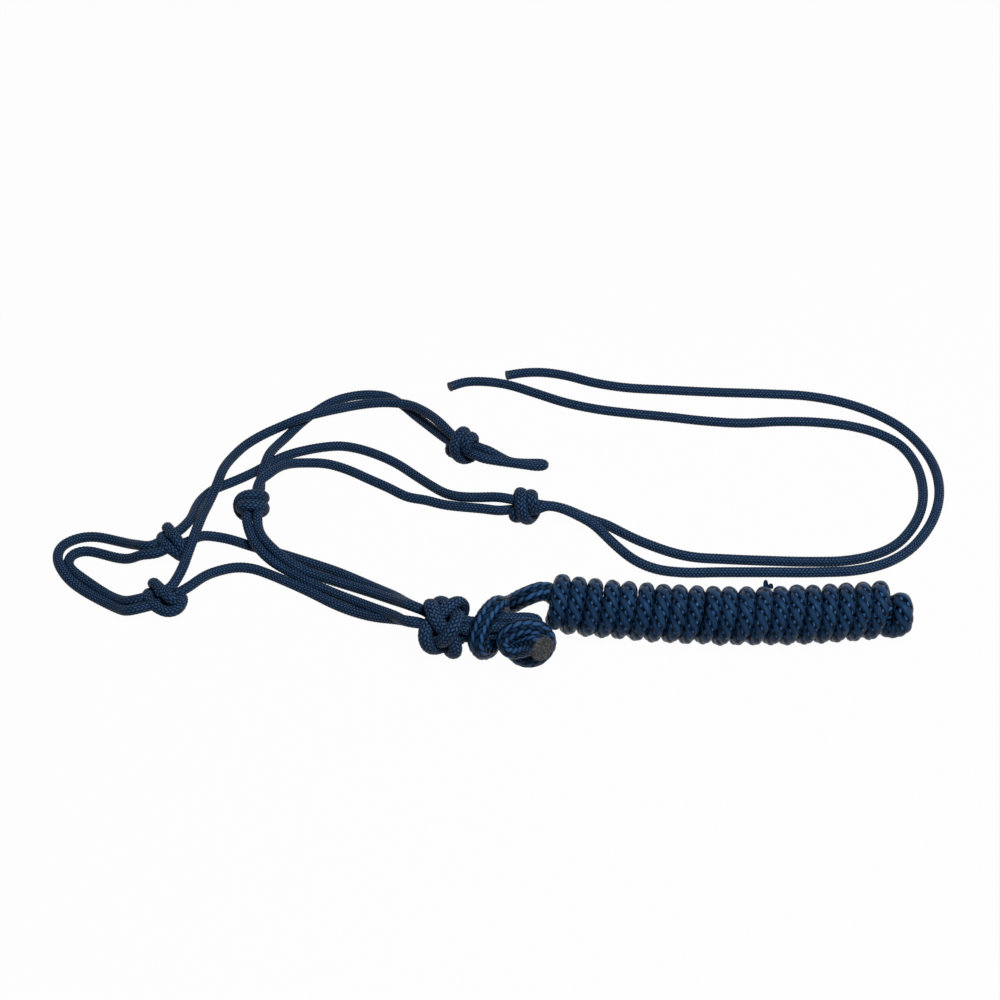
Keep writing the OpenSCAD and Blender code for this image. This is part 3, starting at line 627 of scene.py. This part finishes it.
routes = {
    "noseband_outer": core_back(OFF_NOSE, True) + [
        OFF_OUTER_HINGE, (-288, -55, F + 3), (-303, -48, F), (-318, -44, F), (-330, -45, F),
        (-338.5, -51, F + 1), (-343, -61, F + 4), (-343, -71, F + 4), (-338.5, -81, F + 4),
        (-332, -90, F + 2), (-321, -99, F), (-308, -108, F), (-295, -116, F), (-286, -123, F + 3),
        NEAR_OUTER_HINGE] + core_back(NEAR_NOSE, False)[::-1],
    "noseband_inner": core_back(OFF_NOSE, False) + [
        OFF_INNER_HINGE, (-286, -71, F + 3), (-298, -67, F), (-312, -62, F), (-325, -59, F), (-332.5, -62, F),
        (-336, -69, F), (-333.5, -77, F), (-326, -84, F), (-317, -91.5, F), (-306.5, -100, F),
        (-296, -107.5, F), (-287, -114, F + 3), NEAR_INNER_HINGE] + core_back(NEAR_NOSE, True)[::-1],
    "near_cheek": core_front(NEAR_NOSE, True)[:1] + [
        (-247.5, -113, 20), (-244.5, -105, 20), (-241.5, -92, 19), (-239.5, -75, 18), (-236.5, -55, 18.5),
        (-234, -32, 15.5), (-231, -12, O), (-227, 6, O + 0.8), (-225, 22, O - 0.6), (-219, 46, 5),
        (-210, 62, F), (-197, 72, 5), (-180, 79, 9), (-166, 84, O + 1), (-151, 91, O + 0.5), (-138, 99, 9),
        (-122, 106, 7), (-104, 107, 9), (-88, 104, O), (-76, 101, O + 0.5), (-66, 93, 14), (-56, 81, 17),
        (-47, 69, 18), (-39, 58, 17)] + core_front(TIE, True)[:1],
    "off_cheek": core_front(OFF_NOSE, True)[:2] + [
        (-248, -50, 18), (-244.5, -42, 16.5), (-242.5, -34, 14), (-242, -22, 10), (-239, -4, 5), (-231, 9, F),
        (-221, 15, F), (-210, 22, F), (-199, 30, F), (-189, 39, F), (-177, 48, F), (-160, 55, F),
        (-144, 59, F), (-131, 60, F), (-118, 57, F), (-102, 50, F), (-86, 40, F), (-68, 24, F), (-54, 11, 4),
        (-44, 2, 5.5), (-31, -6, 9.5), (-16, -9.5, 12.5), (-2, -12, 15.3)]
        + core_front(CROWN, True)[:2][::-1],
    "near_throat": core_front(THROAT, False) + [
        (-193, 12, 11), (-191, 25, 13), (-189, 38, O + 1), (-185, 55, 7), (-179, 69, F), (-167, 88, F),
        (-155, 103, F), (-142, 115, F), (-126, 122, F), (-110, 124, F), (-95, 121, F), (-83, 111, F),
        (-71, 97, F), (-59, 82, 5), (-49, 68, 8), (-40, 57, 10)] + core_front(TIE, False)[:1],
    "off_throat": core_front(THROAT, True) + [
        (-186, 11, 18), (-180, 23, 14), (-171, 34, 8), (-159, 39, 4), (-143, 39, F), (-125, 32, F),
        (-107, 21, F), (-89, 10, F), (-74, 0, F), (-59, -3.5, F), (-47, -8, F), (-36, -11, 4),
        (-24, -14, 5.5), (-12, -17, 7), (-1, -20.5, 8.5)] + core_front(CROWN, False)[:2][::-1],
    "near_throat_drop": core_back(THROAT, True)[:1] + [
        (-199.6, -29, 17), (-199, -36, 16), (-197, -44, 13.6), (-192.2, -56, O + 0.5), (-184, -68, 10.5),
        (-174, -76, 7), (-162.5, -82, 4), (-151, -90, F), (-136, -98.5, F), (-126.8, -103.6, F),
        (-111, -113, 5), (-95, -124.5, 9.5), (-79, -137.5, 16)] + fiador_core(-1, 1, INTO_FIADOR),
    "off_throat_drop": core_back(THROAT, False)[:1] + [
        (-190.6, -29, 17), (-190.4, -36, 16), (-189.4, -44, 13.6), (-183, -56.8, O + 0.8),
        (-176.3, -64.8, O + 0.4), (-166, -74, 9), (-153, -81, 5), (-140, -86.3, F + 0.6),
        (-124, -93, F + 0.6), (-111.7, -99, 5), (-95.5, -110, 10), (-79.5, -123, 17),
        in_fiador(-25.4, 9, 7), in_fiador(-19, 7.5, 6.5), in_fiador(-2, 4.2, 4.2)],
    "off_chin": core_front(OFF_NOSE, False)[:1] + [
        (-243.5, -56, 9.5), (-234, -46.5, 7), (-224, -44, F), (-212, -47, F), (-200, -52, F), (-188, -57, F),
        (-175, -61, F), (-154, -69.4, F), (-140.6, -75, F), (-125, -82, F), (-112, -89, F), (-96, -100, 5.5),
        (-80, -114, 11.5),
        in_fiador(-25.4, 14, 1), in_fiador(-19, 12.5, 0.5), in_fiador(-2, 4.2, -4.2)],
    "near_chin": core_front(NEAR_NOSE, False)[:1] + [
        (-243.5, -110, 10.5), (-235.5, -103, 10.5), (-229.5, -93.5, 8), (-224.5, -86.5, 5.5),
        (-217, -80.5, F), (-205, -77, F), (-192, -78, F), (-178.5, -83.8, F), (-165, -91, F),
        (-151.5, -98.7, F), (-142, -104.5, F), (-126, -114.7, F), (-110.4, -122.5, F), (-94.7, -130, 6),
        (-79, -137.5, 12),
        in_fiador(-25.4, 1.8, -1.8), in_fiador(-19, 1.8, -1.8), in_fiador(-2, -4.2, -4.2)],
    "tie_loop": core_back(TIE, False) + [
        TIE_BACK_HINGE, (-2, 41.8, 9.5), (8, 40.2, 4.2), (20, 39.4, F), (31.5, 39.2, F), (35, 38, F + 0.9),
        (36.4, 35.6, F + 1.9), (35, 33, F + 3.2), (31.5, 31.8, F + 3.9), (20, 32.4, F + 5.2),
        (8, 33.6, F + 6.3), (-4, 34, 11.5), TIE_FRONT_HINGE] + core_back(TIE, True)[::-1],
    "crown_tail_long": core_back(CROWN, False) + [
        CROWN_LONG_HINGE, (54, -20.2, 9), (63, -22.3, 5.5), (74, -26, F), (83, -30, F), (94, -38, F),
        (106, -46.5, F), (121, -55, F), (136, -62, F), (150, -66, F), (172, -68, F), (208, -70, F),
        (242, -71, F), (268, -70, F), (291, -64, F), (310, -53, F), (324, -37, F), (337, -12, F),
        (342, 14, F), (340, 41, F), (331, 62, F), (316, 75, F), (295, 84, F), (267, 89, F), (235, 90, F),
        (205, 88, F), (170, 91, F), (140, 96, F), (112, 100, F), (84, 105, F), (55, 114, F),
        (28, 127, F), (6, 137, F), (-14, 141, F), (-31, 140, F), (-43, 134, F)],
    "crown_tail_short": core_back(CROWN, True)[:2] + [
        (38, -24, 18), (47, -25.5, 17), (54.5, -28, 15.5), (63, -31.5, 13), (72.5, -36, 10), (80, -42.5, 7),
        (87, -50, 4.5), (94.5, -58.5, F), (102, -67, F), (111, -74, F), (123, -79.5, F), (138, -82, F),
        (170, -82, F), (208, -82, F), (246, -82, F), (275, -80, F), (298, -73, F), (318, -60, F),
        (335, -40, F), (348, -16, F), (355, 10, F), (355, 37, F), (348, 61, F), (335, 83, F), (315, 101, F),
        (291, 114, F), (263, 122, F), (229, 125, F), (186, 127, F), (143, 130, F), (102, 134, F),
        (79, 140, F), (56, 149, F), (36, 153, F), (18, 152, F), (6, 149, F)],
}

# The two loops that hold the lead: half their width, their middle line, and their far end
LOOP_SIDE = CORD_R + 0.3
LOOP_Y = -153.5
LOOP_END_X = 28


def loop_points(high):
    """A loop out of the fiador knot and back, level all round."""
    z = FIADOR_Z + high * LOOP_SIDE
    r = LOOP_SIDE + 0.3
    places = (0, FIADOR_REACH, FIADOR_REACH + 4)
    return fiador_core(-1, high, places) + [
        (-6, LOOP_Y - LOOP_SIDE, z), (6, LOOP_Y - LOOP_SIDE, z), (LOOP_END_X - r, LOOP_Y - LOOP_SIDE, z),
        (LOOP_END_X - 0.3 * r, LOOP_Y - 0.7 * r, z), (LOOP_END_X, LOOP_Y, z),
        (LOOP_END_X - 0.3 * r, LOOP_Y + 0.7 * r, z), (LOOP_END_X - r, LOOP_Y + LOOP_SIDE, z),
        (6, LOOP_Y + LOOP_SIDE, z), (-6, LOOP_Y + LOOP_SIDE, z)] + fiador_core(1, high, places)[::-1]


routes["lead_loop_upper"] = loop_points(1)
routes["lead_loop_lower"] = loop_points(-1)

# What each moving cord turns with, and the line across its hinge where it bends
joints_crossed = {
    "noseband_outer": ("noseband", (-270, -97.5, KNOT_Z), (-283, -97.5, KNOT_Z)),
    "noseband_inner": ("noseband", (-270, -97.5, KNOT_Z), (-283, -97.5, KNOT_Z)),
    "tie_loop": ("tie_loop", (-14.6, 46.0, KNOT_Z), (-2.7, 39.0, KNOT_Z)),
    "crown_tail_long": ("crown_tails", (36.3, -25.0, KNOT_Z), (48.5, -16.4, KNOT_Z)),
    "crown_tail_short": ("crown_tails", (36.3, -25.0, KNOT_Z), (48.5, -16.4, KNOT_Z)),
}

# The throat knot's wraps, as degrees round it, place along it and distance from its axis: one over the top
# and down the left side, the other below it and in under the first
THROAT_WRAPS = (
    ((205, 7, 5), (185, 8, 10), (135, 3, 10), (90, 0.5, 9.5), (45, 0, 9.8),
     (10, -1.5, 10.5), (-30, -4.5, 10.5), (-75, -6.5, 9), (-120, -7, 5)),
    ((300, 0, 5), (260, -1, 9), (215, -1.5, 11), (180, -3, 11.5), (135, -8, 10),
     (90, -10, 9), (50, -9, 8.5), (20, -7, 7), (-10, -5, 5)))

# The nose knots' wraps, point by point: one slants over the top, the other turns back round its lower end.
# The near knot's last two are strands that fill it inside
OFF_NOSE_WRAPS = (
    ((-252, -52, 8), (-256, -45.5, 7.5), (-259.5, -44.5, 12), (-259.3, -48, 18), (-253.5, -57.5, 20.5),
     (-249, -64.5, 20.5), (-245.5, -69, 16.5), (-246, -68, 9.5), (-251, -63, 8)),
    ((-256, -52, 7), (-261.5, -49.5, 8.5), (-263.5, -54.5, 13.5), (-259.5, -64, 16), (-254.5, -69, 16),
     (-250, -71, 13.5), (-247, -70, 8.5), (-250, -65, 6.5)))
NEAR_NOSE_WRAPS = (
    ((-252, -113, 9), (-258, -104, 8), (-262.5, -103, 12), (-262, -106, 17.5), (-256.5, -113, 20),
     (-251, -120.5, 21.5), (-246, -125, 20.5), (-243, -123.5, 15.5), (-245, -118, 10), (-250, -116, 8)),
    ((-258, -110, 7), (-264.5, -109, 9), (-266, -114, 13.5), (-262, -123.5, 15), (-255.5, -129.5, 15),
     (-248.5, -132, 14), (-242.5, -130, 13.5), (-239, -123.5, 13), (-240.5, -115, 11), (-246, -110, 8)),
    ((-262, -116, 10), (-254, -121, 10.5), (-247, -125, 10.5), (-243, -121, 9)),
    ((-261, -107.5, 11), (-255, -114, 13.5), (-249, -120.5, 14.5), (-245, -121.5, 12.5)))


def wraps_over(knot, lists):
    """Wraps that go through points of their own, in the route's frame."""
    (x, y), heading = knot
    wraps = []
    for points in lists:
        line = rope_line(points, CORD["step"], POINT_PASSES)
        away = line - [x, y, KNOT_Z]
        away -= np.outer(away @ plan(heading), plan(heading))
        wraps.append((line, away / np.linalg.norm(away, axis=1)[:, None]))
    return wraps


def two_turns(knot, turn, lead):
    """Two wraps side by side, turned about the knot's middle by so many degrees."""
    place, heading = knot
    return [wrap_line((place, heading + turn), half_turn, lead) for half_turn in (0, 180)]


# Each knot's wraps, and how wide the cord lies in them
overhand("off_nose_knot", wraps_over(OFF_NOSE, OFF_NOSE_WRAPS), 1.12)
overhand("near_nose_knot", wraps_over(NEAR_NOSE, NEAR_NOSE_WRAPS), 1.12)
overhand("throat_knot", [wrap_through(THROAT_SEEN, stops) for stops in THROAT_WRAPS], 1.25)
overhand("tie_loop_knot", two_turns(TIE, -15, 18), 1.3)
overhand("crown_knot", two_turns(CROWN, 0, 17), 1.3)

weave_path = evenly(weave_line(), CORD["step"])
weave_away = weave_path - in_fiador(0, 0, 0)
weave_away -= np.outer(weave_away @ plan(FIADOR_HEADING), plan(FIADOR_HEADING))
even = np.ones(len(weave_path))
weave = rope_mesh("fiador_knot", weave_path, CORD, cord_yarn, closed=True, sides=weave_away,
                  squash=(WEAVE_FULL * even, WEAVE_WIDE * even))
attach(weave, "halter")
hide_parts("fiador_knot")


def melted_tip(name, line):
    """The drawn-in, melted end of a cord."""
    along = line[-1] - line[-2]
    along /= np.linalg.norm(along)
    tip = np.array([line[-1] + along * t for t in np.linspace(-0.8, 1.2, 9)])
    return rope_mesh(name, tip, dict(CORD, r=CORD_R + 0.1, depth=0.2), melted_cord, ends=(0, 0.7))


# How often a route's kinks are eased: little in the tight loops, most in the noseband
LOOP_PASSES = 20
NOSE_PASSES = 240
OTHER_PASSES = 110

for name, points in routes.items():
    if "loop" in name:
        passes = LOOP_PASSES
    elif "nose" in name:
        passes = NOSE_PASSES
    else:
        passes = OTHER_PASSES
    line = rope_line(points, CORD["step"], passes)
    piece = rope_mesh(name, line, CORD, cord_yarn)
    if name in joints_crossed:
        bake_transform(piece)
    else:
        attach(piece, "halter")
    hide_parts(name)
    if name.startswith("crown_tail"):
        tip_name = name.replace("tail", "tip")
        tip = melted_tip(tip_name, line)
        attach(tip, "crown_tails")
        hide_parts(tip_name)


# Lead: the hitch round the loops

hitch_points = [
    (9.5, -125.5, 16), (4, -121.5, 8.5), (-3, -122, LEAD_FLOOR_Z), (-7.5, -128, LEAD_FLOOR_Z),
    (-8, -139, LEAD_FLOOR_Z), (-6.5, -152, LEAD_FLOOR_Z), (-8.5, -162, 7.5), (-13.5, -169, 14),
    (-16.5, -169, 24), (-13.5, -161.5, 32), (-8.5, -153, 35.5), (-3.5, -145.5, 35), (-0.5, -139.5, 30),
    (0.5, -136, 20), (2, -138, 9), (6, -146, LEAD_FLOOR_Z), (9, -156, LEAD_FLOOR_Z), (12, -167, 8.5),
    (18, -173.5, 10.5), (26, -174, 12), (32, -170.5, 16), (33.5, -170, 27), (28, -169, 35.5),
    (20, -168.5, 38), (10, -170, 36), (4, -172, 28.5), (7.5, -176, 23.5), (14.5, -177, 25),
    (21.5, -178.5, 30), (26.5, -181.5, 34), (30, -186, 35.5)]
hitch_line = rope_line(hitch_points, LEAD["step"])
# The rope swells towards its cut end
SWELL = 0.35
SWELL_OVER = 16
hitch_s = lengths_along(hitch_line)
swell = 1 + SWELL * np.clip(1 - (hitch_s[-1] - hitch_s) / SWELL_OVER, 0, 1) ** 1.5
hitch = rope_mesh("lead_hitch", hitch_line, LEAD, lead_yarn, ends=(7, 0), squash=(swell, swell))
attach(hitch, "halter")
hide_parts("lead_hitch")
along = hitch_line[-1] - hitch_line[-3]
along /= np.linalg.norm(along)
seal_line = np.array([hitch_line[-1] + along * t for t in np.linspace(-0.6, 2.4, 9)])
seal = rope_mesh("lead_end_seal", seal_line, dict(LEAD, r=1.33 * LEAD_R, depth=0.5), melted_lead,
                 ends=(0, 1.0))
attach(seal, "halter")
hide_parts("lead_end_seal")

# Lead: the run, the core and the turns of the hank

# The turns' width and distance are along the hank; the lowest are pressed flat by so much
TURNS = 20
TURN_W = 11.8
TURN_PITCH = 12.4
CORE_D = 15
WIND_GAP = 0.5
LEAD_FLAT = 1.4
WIND_R = CORE_D / 2 + WIND_GAP + LEAD_R
HANK_Z = WIND_R + LEAD_R - LEAD_FLAT
HANK_LEFT = 37.8
HANK_RIGHT = HANK_LEFT + TURNS * TURN_PITCH
LEAN = 1.3
# The rings that a turn is counted in, and the one at which the first turn starts
RINGS_A_TURN = 24
FIRST_RING = 4
# How much fuller the first turn is, and the shares of that outward, along the hank and in its width
TUCK = 2
TUCK_OUT = 0.5
TUCK_ALONG = 0.3
TUCK_WIDE = 0.9
# Where the hank's axis starts, how far its right end lies to the front of that, and how far its middle bows
HANK_Y = -129
HANK_SLANT = 7
HANK_BOW = 9
# How loosely the turns lie: outward, along the hank, and in their width
LOOSE_OUT = 0.35
LOOSE_ALONG = 0.45
LOOSE_WIDE = 0.35
TURN_SPREAD = 0.3
TURN_POINTS = 3570
TURN_PASSES = 40


def hank_axis(x):
    x = np.asarray(x, float)
    share = (x - HANK_LEFT) / (HANK_RIGHT - HANK_LEFT)
    y = HANK_Y - HANK_SLANT * share - HANK_BOW * np.sin(math.pi * np.clip(share, 0, 1))
    return np.stack([x, y, np.full_like(x, HANK_Z)], axis=-1)


# The turns lean, and the first is fuller than the rest
ring = np.linspace(FIRST_RING, RINGS_A_TURN * TURNS, TURN_POINTS)
turn_at = 2 * math.pi * ring / RINGS_A_TURN - math.pi / 2
tucked = TUCK * np.clip(1 - ring / RINGS_A_TURN, 0, 1)
outward = np.stack([np.zeros_like(turn_at), -np.cos(turn_at), np.sin(turn_at)], axis=-1)
loose = np.random.default_rng(5).normal(size=(3, 4 * TURNS + 2))
quarter = 4 * ring / RINGS_A_TURN
ups, sides, widths = (np.interp(quarter, np.arange(4 * TURNS + 2), row) for row in loose)
wind_r = WIND_R + TUCK_OUT * tucked + LOOSE_OUT * ups
wound = hank_axis(HANK_LEFT + TURN_PITCH * ring / RINGS_A_TURN) + wind_r[:, None] * outward
wound[:, 0] += TUCK_ALONG * tucked + LEAN * np.sin(turn_at) + LOOSE_ALONG * sides
wound = eased(wound, TURN_PASSES)
core_x = np.linspace(HANK_LEFT + 6, HANK_RIGHT + 9, 9)[1:]
core_points = [tuple(q) for q in hank_axis(core_x)]
run_points = [(4, -121.5, 8.5), (9.5, -125.5, 16), (14, -129.5, 24.5), LEAD_HINGE, (30, -127, 31),
              (36.5, -126, 29), (42, -127, 24)] + core_points
run_line = rope_line(run_points, LEAD["step"])
run = rope_mesh("lead_run", run_line, LEAD, lead_yarn)
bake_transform(run)
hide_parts("lead_run", "hank_core")

# The last turn draws in to a small loop at the end, and its end goes back into the hank
END_R = 8.2
END_TURN = 310
END_REACH = 11.5
END_REACH_BY = 0.26
END_BACK = 10
END_BACK_FROM = 0.8
END_BACK_OVER = 0.2
END_FRONT = 3
END_DRAWN_BY = 0.4
END_WIDER = 0.16
END_WIDER_OVER = 20
end_share = np.linspace(0, 1, 120)
end_angle = -math.pi / 2 + math.radians(END_TURN) * end_share
end_out = np.stack([np.zeros_like(end_angle), -np.cos(end_angle), np.sin(end_angle)], axis=-1)
end_back = END_BACK * ease_in((end_share - END_BACK_FROM) / END_BACK_OVER)
end_x = HANK_RIGHT + END_REACH * ease_in(end_share / END_REACH_BY) - end_back
end_mid = hank_axis(np.full_like(end_x, HANK_RIGHT))
end_mid[:, 0] = end_x
end_drawn = ease_in(end_share / END_DRAWN_BY)
end_mid[:, 1] -= END_FRONT * end_drawn
end_loop = end_mid + (WIND_R + (END_R - WIND_R) * end_drawn)[:, None] * end_out
turns_raw = np.vstack([wound[:-1], end_loop])
narrow = (TURN_W + TUCK_WIDE * tucked[:-1] + TURN_SPREAD + LOOSE_WIDE * widths[:-1]) / (2 * LEAD_R)
loosening = np.clip(lengths_along(end_loop) / END_WIDER_OVER, 0, 1)
end_wide = TURN_W / (2 * LEAD_R) + END_WIDER * loosening
shape_raw = np.vstack([
    np.column_stack([outward[:-1], np.ones(len(narrow)), narrow]),
    np.column_stack([end_out, np.ones(len(end_loop)), end_wide])])
turns_line = evenly(turns_raw, LEAD["step"])
turn_shape = along_with(turns_raw, shape_raw, turns_line)
turns = rope_mesh("hank_turns", turns_line, WOUND, wound_yarn, sides=turn_shape[:, :3], ends=(6, 6),
                  squash=(turn_shape[:, 3], turn_shape[:, 4]))
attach(turns, "lead")
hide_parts("hank_turns_coil", "hank_end_loop")

# Two yarns pulled out of one turn
YARN = dict(LEAD, r=0.95, carriers=4, pitch=2.4, depth=0.3, round=20, step=0.3)
FRAY = (
    ((196.2, -127, 34), (196, -124.4, 36.8), (196.8, -122.9, 38.4), (197.7, -124.2, 37), (197.6, -127, 34)),
    ((199.6, -127, 33.6), (200, -125, 36), (201, -124.8, 36.2), (201.6, -127, 33.6)))
pulled = [rope_mesh("hank_fray", rope_line(points, YARN["step"], 6), YARN, lead_yarn, ends=(0.8, 0.8))
          for points in FRAY]
fray = joined("hank_fray", pulled)
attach(fray, "lead")


# Floor, light and camera

# The floor's radius and height, ring by ring in metres: flat, then rising to a backdrop all round
FLOOR_RINGS = ((3, 0), (4.5, 0.12), (6, 0.6), (7, 1.5), (7.5, 2.6), (7.7, 4))
FLOOR_ROUND = 96
FLOOR_GREY = (0.38, 0.38, 0.38, 1)
# How much of the floor that the camera sees is plain white; the rest keeps the shadow
FLOOR_WHITE = 0.975
WHITE = (1, 1, 1, 1)


def stage_floor():
    mesh = bpy.data.meshes.new("floor")
    m = FLOOR_ROUND
    turn = [2 * math.pi * k / m for k in range(m)]
    points = [(r * math.cos(a), r * math.sin(a), z) for r, z in FLOOR_RINGS for a in turn]
    faces = [list(range(m))]
    for i in range(len(FLOOR_RINGS) - 1):
        for k in range(m):
            k_next = (k + 1) % m
            faces.append([i * m + k_next, i * m + k, (i + 1) * m + k, (i + 1) * m + k_next])
    mesh.from_pydata(points, [], faces)
    mesh.shade_smooth()
    floor = bpy.data.objects.new("floor", mesh)
    bpy.context.collection.objects.link(floor)
    material, tree, link = fresh_material("floor")
    out = node(tree, "ShaderNodeOutputMaterial", 600, 0)
    matt = node(tree, "ShaderNodeBsdfDiffuse", 0, 100, Color=FLOOR_GREY)
    glow = node(tree, "ShaderNodeEmission", 0, -100, Color=WHITE, Strength=1.0)
    rays = node(tree, "ShaderNodeLightPath", -600, 300)
    seen = maths(tree, "MAXIMUM", -400, 300)
    link(rays.outputs["Is Camera Ray"], seen.inputs[0])
    link(rays.outputs["Is Glossy Ray"], seen.inputs[1])
    seen_through = maths(tree, "MAXIMUM", -200, 300)
    link(seen.outputs[0], seen_through.inputs[0])
    link(rays.outputs["Is Transmission Ray"], seen_through.inputs[1])
    share = maths(tree, "MULTIPLY", 0, 300)
    share.inputs[1].default_value = FLOOR_WHITE
    link(seen_through.outputs[0], share.inputs[0])
    mixed = node(tree, "ShaderNodeMixShader", 300, 0)
    link(share.outputs[0], mixed.inputs[0])
    link(matt.outputs["BSDF"], mixed.inputs[1])
    link(glow.outputs["Emission"], mixed.inputs[2])
    link(mixed.outputs["Shader"], out.inputs["Surface"])
    mesh.materials.append(material)


def lamp(name, place, aim, size, power):
    """A round lamp, its places and size in metres and its power in watts."""
    data = bpy.data.lights.new(name, "AREA")
    data.shape = "DISK"
    data.size = size
    data.energy = power
    made = bpy.data.objects.new(name, data)
    bpy.context.collection.objects.link(made)
    made.location = place
    made.rotation_euler = (Vector(aim) - Vector(place)).to_track_quat("-Z", "Y").to_euler()


stage_floor()
lamp("key", (0.5, -0.55, 1.7), (0, 0, 0), 0.6, 34)
lamp("back", (-0.4, 1.1, 1.8), (0, 0, 0), 1.0, 2)

WORLD_LIGHT = 0.11
world = bpy.data.worlds.new("studio")
world.use_nodes = True
background = world.node_tree.nodes["Background"]
background.inputs["Color"].default_value = WHITE
background.inputs["Strength"].default_value = WORLD_LIGHT
bpy.context.scene.world = world

# The camera looks down at 45 degrees on the point that the routes are measured from
LENS = 63.6
SENSOR = 36
CAMERA_OFF = 1.0062
aim = Vector(metres((0, 0, 0)))
camera_data = bpy.data.cameras.new("camera")
camera_data.sensor_fit = "HORIZONTAL"
camera_data.sensor_width = SENSOR
camera_data.lens = LENS
camera = bpy.data.objects.new("camera", camera_data)
bpy.context.collection.objects.link(camera)
camera.location = aim + Vector((0, -CAMERA_OFF, CAMERA_OFF))
camera.rotation_euler = (math.radians(45), 0, 0)
bpy.context.scene.camera = camera
bpy.context.scene.view_settings.view_transform = "Standard"
